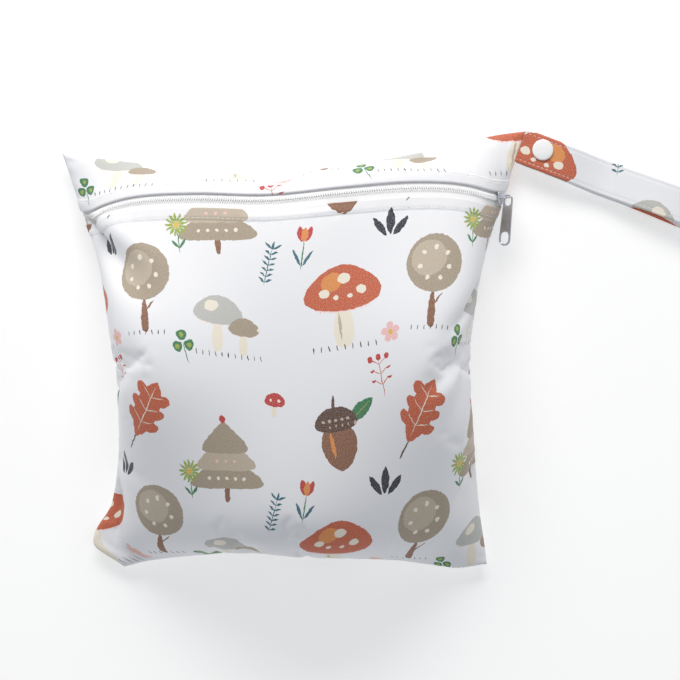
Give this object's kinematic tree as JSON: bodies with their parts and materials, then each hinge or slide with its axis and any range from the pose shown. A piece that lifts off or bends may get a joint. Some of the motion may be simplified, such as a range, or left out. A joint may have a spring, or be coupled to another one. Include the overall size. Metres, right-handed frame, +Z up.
{
  "type": "cloth wet bag",
  "caption": "Stuffed square cloth wet bag lying on its back, with a zip near the top seam, a metal pull tab and a snap-closed wrist strap at the corner.",
  "frame": {"origin": "middle of the flattened patch of the back panel that the bag lies on", "axes": "+X along the zip towards the slider and the strap, +Y from the bottom seam to the top seam, +Z up through the front panel"},
  "size_m": [0.4464, 0.2903, 0.0973],
  "materials": {
    "printed_fabric": "smooth printed laminated knit, white ground with small coloured motifs",
    "zip_tape": "woven white zip tape",
    "zip_coil": "white nylon coil",
    "zip_metal": "satin nickel plate",
    "snap_plastic": "glossy white moulded plastic"
  },
  "bodies": {
    "bag": {"back_panel": "printed_fabric", "front_panel": "printed_fabric", "top_band": "printed_fabric", "zip_tape_upper": "zip_tape", "zip_tape_lower": "zip_tape", "zip_coil": "zip_coil", "zip_slider": "zip_metal", "wrist_strap": "printed_fabric", "snap_cap_top": "snap_plastic", "snap_cap_bottom": "snap_plastic", "snap_socket": "snap_plastic", "snap_stud": "snap_plastic"},
    "pull_tab": {"pull_tab": "zip_metal"}
  },
  "joints": [
    {"name": "pull_swing", "type": "hinge", "parent": "bag", "child": "pull_tab", "pos_m": [0.14052, 0.10032, 0.01881], "axis": [-0.5441, -0.0408, 0.838], "range_deg": [0, 180]}
  ]
}
